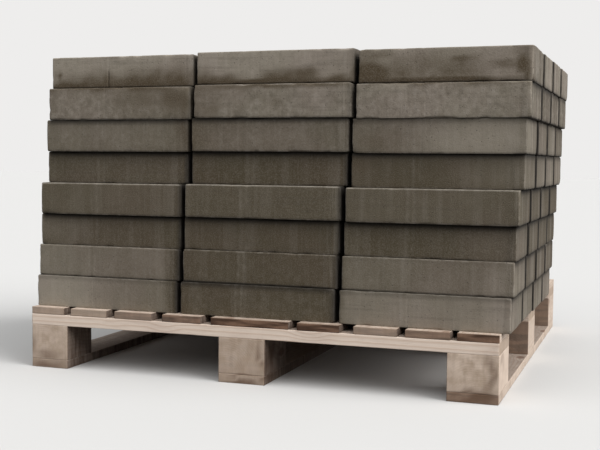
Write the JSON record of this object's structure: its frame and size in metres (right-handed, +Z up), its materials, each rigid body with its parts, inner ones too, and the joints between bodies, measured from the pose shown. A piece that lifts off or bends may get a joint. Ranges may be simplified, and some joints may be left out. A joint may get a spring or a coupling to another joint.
{
  "type": "pallet of concrete facing bricks",
  "caption": "Dry stack of flat grey concrete facing bricks, columns side by side and rows deep, on the front part of a square three-stringer timber pallet with fork pockets on four sides.",
  "frame": {"origin": "centre of the pallet's underside, on the floor", "axes": "+X to the right along the front of the stack, +Y to the back, +Z up"},
  "size_m": [1.2623, 1.2, 0.7992],
  "materials": {
    "concrete": "rough",
    "timber": "rough"
  },
  "bodies": {
    "root": {"brick_course_1": "concrete", "brick_course_2": "concrete", "brick_course_3": "concrete", "brick_course_4": "concrete", "brick_course_5": "concrete", "brick_course_6": "concrete", "brick_course_7": "concrete", "brick_course_8": "concrete", "deck_board_1": "timber", "deck_board_2": "timber", "deck_board_3": "timber", "deck_board_4": "timber", "deck_board_5": "timber", "deck_board_6": "timber", "deck_board_7": "timber", "deck_board_8": "timber", "deck_board_9": "timber", "stringer_front": "timber", "stringer_centre": "timber", "stringer_back": "timber", "block_front_left": "timber", "block_front_middle": "timber", "block_front_right": "timber", "block_centre_left": "timber", "block_centre_middle": "timber", "block_centre_right": "timber", "block_back_left": "timber", "block_back_middle": "timber", "block_back_right": "timber", "bottom_board_left": "timber", "bottom_board_middle": "timber", "bottom_board_right": "timber"}
  },
  "joints": []
}
